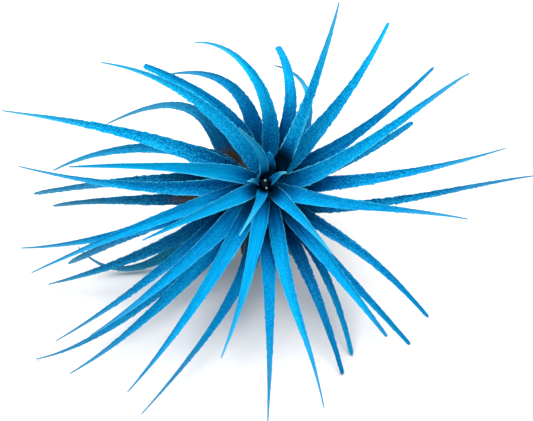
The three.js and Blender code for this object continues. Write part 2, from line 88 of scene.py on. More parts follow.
NEEDLE = 0.32
LEAVES = (
    ("leaf_01_bud_left", 0, 170, 1.7, NEEDLE, [(-2.3, 1, 7)], (-3.9, 0.8, 13)),
    ("leaf_02_bud_right", 0, 9, 2, NEEDLE, [(3.2, 2.3, 8)], (5, 2.9, 13)),
    ("leaf_03_bud_low", 0, 250, 2.6, NEEDLE, [(-2, -5.4, 12)], (-5.8, -11.6, 22)),
    ("leaf_04_bud_high", 0, 60, 2.1, 1, [(2.0, 4.8, 0.6)], (0.9, 7.7, 3.3)),
    ("leaf_05_high", 1, 117, 2.7, NEEDLE, [(-0.8, 7.1, 9.4), (-3.9, 11, 18)], (-5.5, 12.6, 27.5)),
    ("leaf_06_low_right", 1, 325, 3.6, NEEDLE, [(8.7, -7.9, 14)], (15.2, -15.6, 26)),
    ("leaf_07_left", 1, 205, 3.8, NEEDLE, [(-14.9, -6.7, 17)], (-27.3, -12.4, 30)),
    ("leaf_08_low", 2, 265, 3.9, NEEDLE, [(-4, -21.9, 17)], (-9.8, -39, 28)),
    ("leaf_09_high", 2, 45, 4.2, NEEDLE, [(8.1, 13.8, 8.9), (13.5, 29.3, 17.9)], (17, 41.7, 22)),
    ("leaf_10_left", 2, 152, 3.2, NEEDLE, [(-17.3, 4, 9.1), (-33.4, 4.4, 17.4)], (-44.9, 4.1, 20)),
    ("leaf_11_right", 2, 346, 3.7, NEEDLE, [(15.8, -4, 9.1), (31.4, -5.8, 17.4)], (46.7, -7.9, 20)),
    ("leaf_12_low_left", 3, 237, 4.4, NEEDLE, [(-15.8, -27.1, 12)], (-31.8, -48, 16)),
    ("leaf_13_low", 3, 300, 3.9, NEEDLE, [(5.5, -23, 8), (9.5, -35.6, 15)], (13.8, -51.9, 16)),
    ("leaf_14_right", 3, 10, 4.3, NEEDLE, [(18.9, 6.3, 6.4), (35.7, 17.8, 14.1)], (47.4, 25.8, 16)),
    ("leaf_15_high_left", 3, 112, 4.3, NEEDLE, [(-11.4, 16.2, 6), (-23.8, 24.3, 12)], (-38.5, 28.7, 10)),
    ("leaf_16_left", 3, 190, 3.8, NEEDLE, [(-30.4, -10.2, 12)], (-54, -20.4, 16)),
    ("leaf_17_left", 4, 178, 4.2, NEEDLE, [(-29.3, -0.4, 8)], (-57.7, 4.4, 12)),
    ("leaf_18_low_left", 4, 224, 4.4, NEEDLE, [(-21.9, -21.3, 9)], (-40.7, -35.2, 12)),
    ("leaf_19_low", 4, 270, 4.4, NEEDLE, [(1.2, -29.5, 7.5)], (0.7, -56, 11)),
    ("leaf_20_low_right", 4, 315, 4.1, 0.8, [(17.2, -20.8, 8)], (28.7, -35.6, 10)),
    ("leaf_21_high_right", 4, 44, 4.2, 0.8, [(18.1, 19.9, 7.5)], (29.1, 38.1, 10)),
    ("leaf_22_right", 4, 358, 4.1, NEEDLE, [(29.5, 2.1, 8)], (56.5, 8.6, 12)),
    ("leaf_23_left", 5, 156, 4.4, NEEDLE, [(-24.9, 10.1, 1.1), (-43.6, 14.6, 7.5)], (-62.1, 17.5, 8)),
    ("leaf_24_left", 5, 198, 4.2, NEEDLE, [(-33.3, -11.3, 3)], (-58, -15, 5)),
    ("leaf_25_low_left", 5, 239, 4.3, NEEDLE, [(-25.3, -28.9, 3.5)], (-46.3, -44.8, 6)),
    ("leaf_26_low_right", 5, 314, 3.5, 0.9, [(17.6, -12.4, -0.6), (28.1, -20.3, 3.6)], (39, -31.6, 4)),
    ("leaf_27_high_right", 5, 30, 4.3, 0.7, [(21.9, 12.2, 2.5)], (40.3, 28, 4)),
    ("leaf_28_high", 5, 84, 4.2, NEEDLE, [(0.4, 20.1, 0), (-6.6, 30.6, 1.7)], (-17.2, 34.6, -6)),
    ("leaf_29_left", 6, 170, 3.8, 1, [(-29.9, 1, -1)], (-55.6, -2.2, 0)),
    ("leaf_30_low_left", 6, 213, 3.7, NEEDLE, [(-27.4, -22.2, 0)], (-50, -37.4, 2)),
    ("leaf_31_low", 6, 257, 3.9, NEEDLE, [(-5.6, -22.5, -2.7), (-15.6, -38.3, 3.7)], (-29.3, -54.5, 6)),
    ("leaf_32_low_right", 6, 300, 3.2, 1, [(18.9, -21.1, 0.5)], (35.1, -38.6, -2)),
    ("leaf_33_right", 6, 335, 3.4, NEEDLE, [(19.8, -5.3, -3.9), (44.5, -1.4, 1.5)], (65, 2.2, 4)),
    ("leaf_34_high_left", 6, 125, 4.4, 1.3, [(-8.7, 16.3, -2.6), (-19.8, 24.3, 1.4)], (-29, 28.6, 0)),
    ("leaf_35_high", 6, 62, 4.1, 1.6, [(6.1, 17, -3.7), (5.9, 26.5, -3.7)], (3.1, 34.2, -13)),
    ("leaf_36_left", 7, 196, 3.7, 1.3, [(-26.6, -9.6, -5)], (-47.9, -19.2, -6)),
    ("leaf_37_low_left", 7, 228, 3.5, NEEDLE, [(-31.5, -30.5, -3)], (-55.7, -42.4, None)),
    ("leaf_38_low", 7, 268, 3.2, NEEDLE, [(-1.4, -15.9, -9.8)], (-3.1, -22.5, -13.6)),
    ("leaf_39_low_right", 7, 298, 3.8, 1, [(12, -25.5, -1.5)], (18.9, -45.8, None)),
    ("leaf_40_right", 7, 8, 3.1, 1.3, [(20.9, 6.1, -3)], (36, 15.2, -4)),
    ("leaf_41_high", 7, 54, 3, NEEDLE, [(9.6, 13, -8.1), (10.4, 22.9, -8.8)], (2.2, 29.8, -16.5)),
    ("leaf_42_high", 7, 104, 4.5, NEEDLE, [(-7.4, 23.2, -3)], (-23.6, 27, -8)),
    ("leaf_43_left", 7, 155, 4, NEEDLE, [(-20.7, 8.7, -7), (-37.5, 8.1, -4)], (-52.3, 3.4, -12)),
    ("leaf_44_low_left", 8, 211, 4.2, NEEDLE,
     [(-24.1, -14.4, -12.2), (-41.7, -21.3, -13.3)], (-54.4, -25, None)),
    ("leaf_45_low_right", 8, 303, 2.9, 1.1, [(14.2, -20.7, -7)], (21.3, -41.5, None)),
    ("leaf_46_high_left", 8, 150, 4.8, NEEDLE,
     [(-11.9, 12.1, -10.3), (-19.9, 19, -5)], (-39.6, 14.8, -14)),
    ("leaf_47_left", 8, 180, 4.1, 0.9, [(-21.8, -3.3, -12), (-35.9, -3.8, -9)], (-52, -5.2, -8)),
    ("leaf_48_low_left", 9, 222, 4.6, NEEDLE,
     [(-18.9, -14.3, -21), (-33.4, -21, -22)], (-46.9, -15.3, -18)),
)

# By each leaf's number: how scaly it is, how light it is, its dye with painted light and shade
# for how the leaf lies to the lamp, how far that leans to teal, and how brown its base has
# dried. The tables below it have the leaves' numbers too.

LOOKS = {
    1: (0.05, 0.85, 0.5, 0),
    2: (0.05, 0.9, 0.2, 0),
    3: (0.08, 0.95, 0.1, 0),
    4: (0.05, 0.95, 0.1, 0),
    5: (0.06, 1.0, 0.35, 0),
    6: (0.12, 1.0, 0, 0),
    7: (0.15, 1.0, 0, 0),
    8: (0.12, 0.98, 0, 0),
    9: (0.6, 1.1, 0, 0),
    10: (0.15, 1.15, 0, 0),
    11: (0.4, 1.0, 0, 0),
    12: (0.25, 0.95, 0, 0),
    13: (0.35, 1.05, 0, 0),
    14: (0.5, 1.0, 0, 0),
    15: (0.75, 1.6, 0, 0),
    16: (0.25, 0.9, 0, 0),
    17: (0.6, 0.88, 0, 0),
    18: (0.3, 0.8, 0, 0),
    19: (0.4, 0.95, 0, 0),
    20: (0.3, 0.95, 0, 0),
    21: (0.65, 1.12, 0, 0),
    22: (0.7, 0.88, 0, 0),
    23: (0.95, 1.5, 0, 0),
    24: (0.35, 1.0, 0, 0),
    25: (0.4, 1.05, 0, 0),
    26: (0.6, 0.9, 0, 0),
    27: (0.45, 0.9, 0, 0),
    28: (0.4, 1.6, 0, 0),
    29: (0.9, 0.85, 0.4, 0.3),
    30: (0.4, 0.95, 0.1, 0),
    31: (0.35, 0.9, 0, 0),
    32: (0.5, 0.95, 0, 0),
    33: (0.8, 0.9, 0.15, 0),
    34: (0.5, 1.05, 0, 0),
    35: (0.35, 1.2, 0, 0),
    36: (0.9, 0.9, 0.2, 0),
    37: (0.5, 0.95, 0.2, 0),
    38: (0.7, 0.9, 0, 0),
    39: (0.5, 0.85, 0, 0),
    40: (0.7, 1.1, 0.2, 0),
    41: (0.3, 1.3, 0.4, 0),
    42: (0.4, 1.15, 0, 0),
    43: (0.5, 1.25, 0.2, 0),
    44: (0.6, 0.95, 0.25, 0.1),
    45: (0.5, 1.1, 0, 0),
    46: (0.35, 1.15, 0.4, 0.85),
    47: (0.7, 0.8, 0.6, 0.85),
    48: (0.4, 0.85, 0.9, 0.6),
}

# Ring by ring, how far from the throat the painted shade of the deep rosette, over the dye's
# darker base, starts to clear, and where the leaf has its full colour, in millimetres.

DARK_START = (0.8, 1.8, 2.5, 3, 5, 6, 6.5, 5, 5, 5)
DARK_REACH = (4.5, 8, 12.5, 17, 24, 26, 28, 29, 31, 33)

# How much further out than its ring's the painted shade of a leaf's base reaches, in millimetres.

DARK_SHIFT = {
    4: 3.2, 5: -1.5, 8: -0.5, 9: 5, 10: -2, 11: -1, 12: 1, 14: -1, 15: -2, 17: -6, 18: -6,
    19: 3, 21: -6.5, 24: 7, 27: -7, 28: -3, 29: 6, 34: -5, 42: -3, 46: -5, 47: 4,
}

# How much wider than the solid's a leaf's base is, as a share.

BASE_FLARE = {
    1: -0.2, 4: 0.35, 5: -0.15, 10: 0.3, 15: -0.08, 21: 0.1, 27: 0.05, 41: 0.15, 46: 0.08,
    48: 0.5,
}

# Leaves that arch back are fuller in their outer half: the power of their taper.

FULL_TAPER = {41: 1.1, 42: 1.1, 43: 1.1, 46: 1.0}

# How far along a leaf the dry brown of its base goes, as shares of its length: where it starts
# to give way, and where it has gone. The first pair is for leaves that aren't named.

USUAL_BROWN_REACH = (0.18, 0.5)
BROWN_REACH = {44: (0.15, 0.5), 46: (0.08, 0.4), 47: (0.15, 0.6), 48: (0.2, 0.6)}

# Leaves whose margins shine more than the others'.

SHINING_MARGINS = (5, 6, 7, 9, 10, 14, 17)

# How pale the tender tips round the throat are.

PALE_TIPS = {1: 0.7, 2: 0.8, 3: 0.35, 5: 0.3, 6: 0.15}

# How grey the tips are. Where a leaf isn't named, its tip is worn, or fresh in the two rings
# next to the throat.

WORN_TIPS = {
    8: 0.5, 10: 0.5, 12: 0.5, 13: 0.6, 20: 0.2, 21: 0.1, 26: 0, 27: 0.1, 32: 0, 34: 0, 35: 0,
    39: 0, 40: 0, 45: 0,
}

# The dry sheaths round the end of the cone: bearing, how far each stands out from the axis, and
# how far it rises towards the throat.

CONE_SHEATHS = (
    ("dry_sheath_01_right", 330, 6.5, 2.5),
    ("dry_sheath_02_right", 12, 7.5, 4),
    ("dry_sheath_03_back", 54, 6, 4.5),
    ("dry_sheath_04_back", 96, 7, 3.5),
    ("dry_sheath_05_left", 138, 6.2, 3),
    ("dry_sheath_06_left", 180, 6.4, 1.5),
)

# The dry sheaths on the foot: bearing, width, height of the root, and then the middle and the
# tip, each by its distance from the upright axis and its height.

FOOT_SHEATHS = (
    ("dry_sheath_07_front", 246, 6.6, 5.5, (10.2, 6.2), (13.2, 3)),
    ("dry_sheath_08_front", 301, 6.6, 6, (10.4, 6.4), (13.6, 2.8)),
    ("dry_sheath_09_right", 8, 7.6, 2.6, (8.3, 8.6), (9.8, 14.2)),
    ("dry_sheath_10_back", 88, 7.6, 2.2, (8.2, 8.4), (9.5, 14.6)),
    ("dry_sheath_11_left", 168, 7.6, 2.8, (8.3, 8.6), (10.2, 13.4)),
)

# How far a sheath beside the throat is darkened to near-black navy: painted shade of the deep
# rosette, with the dye's stain.

SHADED_STAINED_SHEATHS = {"dry_sheath_01_right": 0.8, "dry_sheath_02_right": 0.5}


# Numbers and arrays


def unit(v):
    """Each vector along the last axis, brought to length 1."""
    return v / np.linalg.norm(v, axis=-1, keepdims=True)


def ease(x, low, high):
    """0 below low, 1 above high, and the smooth cubic 3t^2 - 2t^3 between them."""
    t = np.clip((x - low) / (high - low), 0, 1)
    return t * t * (3 - 2 * t)


def blend(a, b, t):
    """a where t is 0, b where t is 1, and in a straight line between."""
    return a + (b - a) * t


def wobble(x, waves, size):
    """A smooth seeded wander: a sum of sines of x, with longer waves stronger."""
    total = np.zeros_like(x)
    for k in range(1, waves + 1):
        total = total + rng.normal() / k * np.sin(2 * np.pi * (k * x + rng.random()))
    return size * total


NEIGHBOUR_SHARE = 0.6


def soft_noise(rows, columns, passes):
    """Seeded grain on a grid that closes round its columns: random numbers, each added to a
    share of its neighbours' in every pass, and brought to unit spread."""
    grain = rng.normal(size=(rows, columns))
    for _ in range(passes):
        for axis in (0, 1):
            beside = np.roll(grain, 1, axis) + np.roll(grain, -1, axis)
            grain = grain + NEIGHBOUR_SHARE * beside
        grain /= grain.std()
    return grain


def section_angles(columns):
    """The angles of points spaced evenly round a section."""
    return 2 * np.pi * np.arange(columns) / columns


def place(right, up, out):
    """A place in the rosette, in millimetres from the throat."""
    return THROAT + ACROSS * right + UPWARD * up + OUTWARD * out


def tip_place(right, up, out):
    """A tip's place. Without an out value it lies on the surface."""
    if out is None:
        out = (RESTING_TIP_HEIGHT - THROAT[2] - up * math.sin(LEAN)) / math.cos(LEAN)
    return place(right, up, out)


def cone_radius(back):
    """The stem's radius that far behind the throat."""
    return CONE_TOP_RADIUS + CONE_FLARE * back


def foot_radius(height):
    """The foot's radius at a height: an ellipse round its belly."""
    inside = 1 - ((height - FOOT_BELLY_HEIGHT) / FOOT_HALF_HEIGHT) ** 2
    return FOOT_RADIUS * np.sqrt(np.clip(inside, 0, None))


# Surfaces and meshes

NO_FACETS = np.zeros((0, 3), int)


def closed_tube_faces(rows, columns):
    """Quads of a grid closed round its columns, and the fans that close its two ends on poles."""
    i, j = np.meshgrid(np.arange(rows - 1), np.arange(columns), indexing="ij")
    a = i * columns + j
    b = i * columns + (j + 1) % columns
    quads = np.stack([a, b, b + columns, a + columns], -1).reshape(-1, 4)
    ring = np.arange(columns)
    after = (ring + 1) % columns
    last = (rows - 1) * columns
    start_pole = rows * columns
    end_pole = start_pole + 1
    start = np.stack([np.full(columns, start_pole), after, ring], -1)
    end = np.stack([np.full(columns, end_pole), last + ring, last + after], -1)
    return quads, np.concatenate([start, end])


def closed_tube(grid, looks):
    """A grid closed round its columns, as a surface: its points and then the two poles, each at
    the middle of an end ring, its quads, its fans, and each look at all its points."""
    quads, fans = closed_tube_faces(*grid.shape[:2])
    poles = np.stack([grid[0].mean(0), grid[-1].mean(0)])
    told = {}
    for key, values in looks.items():
        ends = np.stack([values[0, 0], values[-1, 0]])
        told[key] = np.concatenate([values.reshape(-1, 3), ends])
    return np.concatenate([grid.reshape(-1, 3), poles]), quads, fans, told


def joined(surfaces):
    """Several surfaces as one: their arrays end to end, with the numbers in the faces moved on."""
    starts = np.cumsum([0] + [len(each[0]) for each in surfaces])
    points = np.concatenate([each[0] for each in surfaces])
    quads = np.concatenate([each[1] + start for each, start in zip(surfaces, starts)])
    fans = np.concatenate([each[2] + start for each, start in zip(surfaces, starts)])
    told = {key: np.concatenate([each[3][key] for each in surfaces]) for key in surfaces[0][3]}
    return points, quads, fans, told


def finish_piece(name, surface, facets, material, replaced):
    """Puts a surface into a mesh, in metres: smooth quads and fans, then flat facets."""
    points, quads, fans, told = surface
    mesh = bpy.data.meshes.new(name)
    corners = np.concatenate([quads.ravel(), fans.ravel(), facets.ravel()]).astype(np.int32)
    threes = len(fans) + len(facets)
    counts = np.concatenate([np.full(len(quads), 4), np.full(threes, 3)])
    mesh.vertices.add(len(points))
    mesh.vertices.foreach_set("co", (points * MM).astype(np.float32).ravel())
    mesh.loops.add(len(corners))
    mesh.loops.foreach_set("vertex_index", corners)
    mesh.polygons.add(len(counts))
    starts = np.concatenate([[0], np.cumsum(counts)[:-1]]).astype(np.int32)
    mesh.polygons.foreach_set("loop_start", starts)
    smooth = np.arange(len(counts)) < len(quads) + len(fans)
    mesh.polygons.foreach_set("use_smooth", smooth)
    mesh.update(calc_edges=True)
    mesh.validate()
    for key, values in told.items():
        layer = mesh.attributes.new(key, "FLOAT_VECTOR", "POINT")
        layer.data.foreach_set("vector", values.astype(np.float32).ravel())
    mesh.materials.append(material)
    piece = bpy.data.objects.new(name, mesh)
    bpy.context.scene.collection.objects.link(piece)
    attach(piece, "root")
    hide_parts(replaced)


# Blades


def middle_line(root, through, tip, s):
    """Points and directions of a curve from root to tip: of the second degree through one
    place half way along, or of the third degree through two, a third and two thirds along."""
    t = s[:, None]
    if len(through) == 1:
        knee = 2 * through[0] - (root + tip) / 2
        centre = (1 - t) ** 2 * root + 2 * t * (1 - t) * knee + t**2 * tip
        return centre, unit((1 - t) * (knee - root) + t * (tip - knee))
    near, far = through
    first = 3 * near - 1.5 * far - root * 5 / 6 + tip / 3
    second = 3 * far - 1.5 * near - tip * 5 / 6 + root / 3
    centre = (1 - t) ** 3 * root + 3 * t * (1 - t) ** 2 * first
    centre = centre + 3 * t**2 * (1 - t) * second + t**3 * tip
    slope = (1 - t) ** 2 * (first - root) + 2 * t * (1 - t) * (second - first)
    return centre, unit(slope + t**2 * (tip - second))


def blade_frame(root, through, tip, side, s):
    """Points and directions along a blade's middle line. wide is the width direction, carried
    along the line with no twist, and face looks to the leaf's upper side."""
    centre, tangent = middle_line(root, through, tip, s)
    first = tangent[0]
    root_side = unit(side - first * (side @ first))
    turn = -(tangent @ root_side) / (1 + tangent @ first)
    wide = root_side + turn[:, None] * (first + tangent)
    return centre, tangent, wide, np.cross(tangent, wide)


def blade_width(s, width, tip_width, neck, taper=TAPER):
    """Width along a blade: a neck at the root, full width a little way out, then a taper."""
    near = width * blend(neck, 1, np.sin(np.clip(s / WIDEST_AT, 0, 1) * np.pi / 2))
    out = np.clip((s - WIDEST_AT) / (1 - WIDEST_AT), 0, 1)
    return np.where(s < WIDEST_AT, near, blend(tip_width, width, (1 - out) ** taper))


# A blade's section: the powers of across in its channel, in its wall and in the directions of
# its sides, and how far in from each margin its bead reaches.

CHANNEL_POWER = 1.6
WALL_POWER = 2.6
EDGE_POWER = 5
BEAD_REACH = 0.1


def blade_surface(path, s, columns, half, thick, channel, bead):
    """The closed surface of a channelled blade. Round the section by an angle, across is the
    cosine of the angle, the upper face lifts with a power of across into a channel with a
    small bead along each margin, and the lower face hangs under it by a thickness that falls
    to nothing at the margins. Returns the grid of points, and its outward directions."""
    centre, _, wide, face = path
    angle = section_angles(columns)
    u = np.cos(angle)[None, :]
    lift = np.sin(angle)[None, :]
    depth = 2 * half * blend(channel[0], channel[1], np.clip(4 * s, 0, 1))
    upper = depth[:, None] * np.abs(u) ** CHANNEL_POWER
    upper = upper + bead[:, None] * np.exp(-(((1 - np.abs(u)) / BEAD_REACH) ** 2))
    wall = thick[:, None] * np.sqrt(np.clip(1 - np.abs(u) ** WALL_POWER, 0, 1))
    level = np.where(lift >= 0, upper, upper - wall)
    reach = half[:, None] * u
    points = centre[:, None] + reach[..., None] * wide[:, None] + level[..., None] * face[:, None]
    aside = np.sign(u) * np.abs(u) ** EDGE_POWER
    return points, unit(aside[..., None] * wide[:, None] + lift[..., None] * face[:, None])


# Leaves: how far apart the stations along one lie, in millimetres, the fewest that one has, and
# the points round its section.

STATION_STEP = 0.33
FEWEST_STATIONS = 40
LEAF_COLUMNS = 24

# A leaf's base clasps the stem closer than the solid does, which keeps its gap. Its width
# wanders by a share, its middle line sways in millimetres, and its face twists in radians.

CLASP = 0.85
CLASPING_RINGS = 3
WIDTH_WANDER = 0.012
SWAY = 0.05
TWIST = 0.09
TWIST_WANDER = 0.05
MARGIN_BEAD = 0.05
MOST_THICKNESS = 0.86

# The end of a blunt tip and of a needle is rounded over that many of its widths and a little. A
# tip is blunt where it is less worn than the last number here.

BLUNT_ROUNDING = 0.9
NEEDLE_ROUNDING = 3.0
ROUNDING_LEAST = 0.2
STILL_FRESH = 0.3

# The relief of scales on a face, and how much more of it margins have. Then the scales that
# stand proud: size, height, how deep their bases sit, how many a square millimetre has where a
# leaf is scaly, and the least of that. Near a tip only a share of the scales is left. The last
# number is how far a leaf stays above the ground.

FACE_RELIEF = 0.03
MARGIN_RELIEF = 0.065
SCALE_SIZE = 0.17
SCALE_HEIGHT = 0.13
SCALE_SINK = 0.03
SCALE_DENSITY = 9.0
SCALE_LEAST = 0.04
TIP_SCALES = 0.45
LEAF_CLEARANCE = 0.02

# Where a leaf's margins show their shine, and how far the patterns of the two faces and of the
# leaves lie apart, in millimetres, so that no two look alike.

MARGIN_SHINE = 0.6
STRONG_SHINE = 1.2
SHINE_REACH = 0.08
FACE_OFFSET = 20
RING_OFFSET = 90


def scale_grains(grid, amount, looks):
    """Small scales that stand on a surface: closed three-sided points, their bases sunk in.
    Each sits at a random place of a random cell, with cells drawn in proportion to their
    area times amount, and leans towards the blade's tip."""
    after = np.roll(grid, -1, axis=1)
    along = grid[1:] - grid[:-1]
    around = (after - grid)[:-1]
    area = np.linalg.norm(np.cross(around, along), axis=-1)
    chance = (area * amount[:-1]).ravel()
    count = int(chance.sum())
    if count < 1:
        return np.zeros((0, 3)), NO_FACETS, {key: np.zeros((0, 3)) for key in looks}
    cells = rng.choice(chance.size, size=count, p=chance / chance.sum())
    i, j = np.divmod(cells, grid.shape[1])
    a, b = rng.random((2, count, 1))
    seat = grid[i, j] + a * along[i, j] + b * around[i, j]
    ahead = unit(along[i, j])
    normal = unit(np.cross(around[i, j], along[i, j]))
    beside = np.cross(normal, ahead)
    spin = rng.random(count) * 2 * np.pi
    wide = SCALE_SIZE * rng.uniform(0.65, 1.35, count)
    tall = SCALE_HEIGHT * rng.uniform(0.5, 1.5, count)
    corners = []
    for k in range(3):
        turn = spin + k * 2 * np.pi / 3
        foot = np.cos(turn)[:, None] * ahead * 1.25 + np.sin(turn)[:, None] * beside
        corners.append(seat + wide[:, None] * foot - SCALE_SINK * normal)
    lean = rng.normal(0.35, 0.35, (count, 1))
    drift = rng.normal(0, 0.3, (count, 1))
    top = seat + tall[:, None] * normal + wide[:, None] * (lean * ahead + drift * beside)
    corners.append(top)
    points = np.stack(corners, 1).reshape(-1, 3)
    first = 4 * np.arange(count)[:, None]
    shape = np.array([[0, 1, 3], [1, 2, 3], [2, 0, 3], [0, 2, 1]])
    faces = (first[:, None] + shape[None]).reshape(-1, 3)
    light = rng.uniform(0.0, 1.0, count) ** 1.5
    told = {}
    for key, values in looks.items():
        own = values[i, j].copy()
        if key == "skin":
            own[:, 2] = light
        told[key] = np.repeat(own, 4, axis=0)
    return points, faces, told


def number_of(name):
    """The leaf's number in its name."""
    return int(name.split("_")[1])


def tip_wear(number, ring):
    """How grey a leaf's tip is, from 0, fresh, to 1."""
    return WORN_TIPS.get(number, 1.0 if ring > 1 else 0.0)


def leaf_seat(ring, bearing):
    """Where a leaf springs from the cone, the width direction there, and the way out."""
    back = FIRST_RING_BACK + ring * RING_PITCH
    radius = cone_radius(back) + SEAT_GAP + BLADE_THICKNESS * 0.75
    angle = math.radians(bearing)
    root = place(radius * math.cos(angle), radius * math.sin(angle), -back)
    side = -math.sin(angle) * ACROSS + math.cos(angle) * UPWARD
    return root, side, math.cos(angle) * ACROSS + math.sin(angle) * UPWARD


def leaf_width(leaf, s, length):
    """Width along a leaf: the blade's, drawn in to a rounded end, with margins that wander a
    little and a base that flares or narrows."""
    name, ring, _, width, tip_width = leaf[:5]
    number = number_of(name)
    full = blade_width(s, width, tip_width, LEAF_NECK, FULL_TAPER.get(number, TAPER))
    blunt = tip_wear(number, ring) < STILL_FRESH
    rounding = BLUNT_ROUNDING if blunt else NEEDLE_ROUNDING
    end = np.clip((1 - s) * length / (rounding * tip_width + ROUNDING_LEAST), 0, 1)
    full = full * np.sqrt(np.clip(1 - (1 - end) ** 1.8, 0.004, 1))
    near_base = 1 - ease(s, 0.15, 0.6)
    flare = 1 + BASE_FLARE.get(number, 0) * near_base
    return full * (1 + wobble(s, 6, WIDTH_WANDER)) * flare


def leaf_path(ring, seat, through, tip, s, length):
    """A leaf's middle line and directions: the blade's, swaying and twisting a little between
    root and tip, and in the inner rings held close to the stem at the base."""
    root, side, out = seat
    centre, tangent, wide, face = blade_frame(root, through, tip, side, s)
    free = ease(s, 0.1, 0.5) * (1 - s)
    centre = centre + (free * wobble(s, 3, SWAY))[:, None] * wide
    if ring <= CLASPING_RINGS:
        held = CLASP * (1 - ease(s * length, 0.5, 6.0))
        centre = centre - held[:, None] * out
    twist = ease(s, 0.1, 1) * rng.normal(0, TWIST) + free * wobble(s, 2, TWIST_WANDER)
    turned = np.cos(twist)[:, None] * wide + np.sin(twist)[:, None] * face
    face = np.cos(twist)[:, None] * face - np.sin(twist)[:, None] * wide
    return centre, tangent, turned, face


def leaf_looks(leaf, s, length, half, grid, u, upper, scales, room):
    """What a leaf's material reads. blade is the place across and along the skin in
    millimetres. growth is the leaf's lightness: its dye, with painted shade towards the throat
    and painted light and shade for how the leaf lies, then the grey of the tip and the brown of
    the base. skin is the margin's painted shine, the scales, and the painted light on a scale
    that stands proud. wash is the lean to teal and the pale of a tender tip."""
    name, ring, bearing = leaf[:3]
    number = number_of(name)
    _, light, teal, dry = LOOKS[number]
    distance = np.linalg.norm(grid - THROAT, axis=-1)
    shift = DARK_SHIFT.get(number, 0)
    # Painted shade: darker towards the throat, where the rosette is deep, over the dye's darker base,
    # times the leaf's lightness with its painted light and shade.
    dye_and_shade = light * ease(distance - shift, DARK_START[ring], DARK_REACH[ring])
    grey = tip_wear(number, ring) * (0.45 * ease(s, 0.55, 0.9) + 0.55 * ease(s, 0.88, 1))
    dried = dry * (1 - ease(s, *BROWN_REACH.get(number, USUAL_BROWN_REACH)))
    brown = dried[:, None] * (1 - 0.5 * u**4)
    across_mm = (half[:, None] * u) + np.where(upper, 0, FACE_OFFSET)
    along_mm = (s * length)[:, None] * np.ones_like(u) + ring * RING_OFFSET + bearing
    tender = PALE_TIPS.get(number, 0) * ease(s, 0.45, 1)
    shine = STRONG_SHINE if number in SHINING_MARGINS else MARGIN_SHINE
    margin = shine * np.exp(-(((1 - np.abs(u)) / SHINE_REACH) ** 2)) * room
    none = np.zeros_like(dye_and_shade)
    return {
        "blade": np.stack([across_mm, along_mm, none], -1),
        "growth": np.stack([dye_and_shade, grey[:, None] + none, brown], -1),
        "skin": np.stack([margin, scales * room, none], -1),
        "wash": np.stack([teal + none, tender[:, None] + none, none], -1),
    }


def leaf_piece(leaf, materials):
    """One leaf: the blade on its path, a relief of scales by seeded noise that is stronger at
    the margins, and separate scales that stand proud."""
    name, ring, bearing, _, _, through, tip = leaf
    scaly = LOOKS[number_of(name)][0]
    seat = leaf_seat(ring, bearing)
    through, tip = [place(*spot) for spot in through], tip_place(*tip)
    corners = np.array([seat[0], *through, tip])
    length = np.linalg.norm(np.diff(corners, axis=0), axis=1).sum()
    rows = max(FEWEST_STATIONS, int(length / STATION_STEP))
    s = np.linspace(0, 1, rows)
    full = leaf_width(leaf, s, length)
    path = leaf_path(ring, seat, through, tip, s, length)
    half = full / 2
    thick = np.minimum(blend(BLADE_THICKNESS, TIP_THICKNESS, s), MOST_THICKNESS * full)
    bead = MARGIN_BEAD * ease(full, 0.6, 2.0)
    grid, outward = blade_surface(path, s, LEAF_COLUMNS, half, thick, LEAF_CHANNEL, bead)

    angle = section_angles(LEAF_COLUMNS)
    u = np.cos(angle)[None, :]
    upper = np.broadcast_to(np.sin(angle) >= 0, (rows, LEAF_COLUMNS))
    room = ease(full, 0.4, 1.6)[:, None]
    scales = scaly * blend(1.0, TIP_SCALES, ease(s, 0.45, 0.95))[:, None] * np.ones_like(u)
    scales = np.where(upper, scales, np.clip(scales * 1.1 + 0.25, 0, 1))
    relief = soft_noise(rows, LEAF_COLUMNS, 1) * scales * room
    edge = np.abs(u) ** 8 * np.ones((rows, 1))
    grid = grid + (relief * (FACE_RELIEF + MARGIN_RELIEF * edge))[..., None] * outward
    grid[..., 2] = np.maximum(grid[..., 2], LEAF_CLEARANCE)

    looks = leaf_looks(leaf, s, length, half, grid, u, upper, scales, room)
    points, quads, fans, told = closed_tube(grid, looks)
    density = SCALE_DENSITY * (scales * room + SCALE_LEAST)
    grain_points, grain_faces, grain_looks = scale_grains(grid, density, looks)
    facets = grain_faces + len(points)
    told = {key: np.concatenate([told[key], grain_looks[key]]) for key in told}
    surface = (np.concatenate([points, grain_points]), quads, fans, told)
    slot = "fresh_blue_leaf" if ring <= 4 else "deep_blue_leaf" if ring <= 6 else "teal_leaf"
    finish_piece("dyed_" + name, surface, facets, materials[slot], name)


# Dry sheaths, in millimetres. The width wanders by a share, the torn end is that many times as
# wide as the solid's tip, and tears are less deep in a sheath that is shorter than the short one.

SHEATH_COLUMNS = 36
SHEATH_STATIONS = 44
SHEATH_THICKNESS = 0.7
SHEATH_TIP_THICKNESS = 0.28
SHEATH_WANDER = 0.04
TORN_END_WIDTH = 1.6
RIB_TURNS = 7
RIB_HEIGHT = 0.05
SHEATH_GRAIN = 0.04
DEEPEST_TEAR = 1.6
TEAR_PLACES = 9
SHORT_SHEATH = 9
LEAST_CURL = 0.2
MOST_CURL = 0.7
SHEATH_CLEARANCE = 0.05
GRAIN_OFFSET = 90


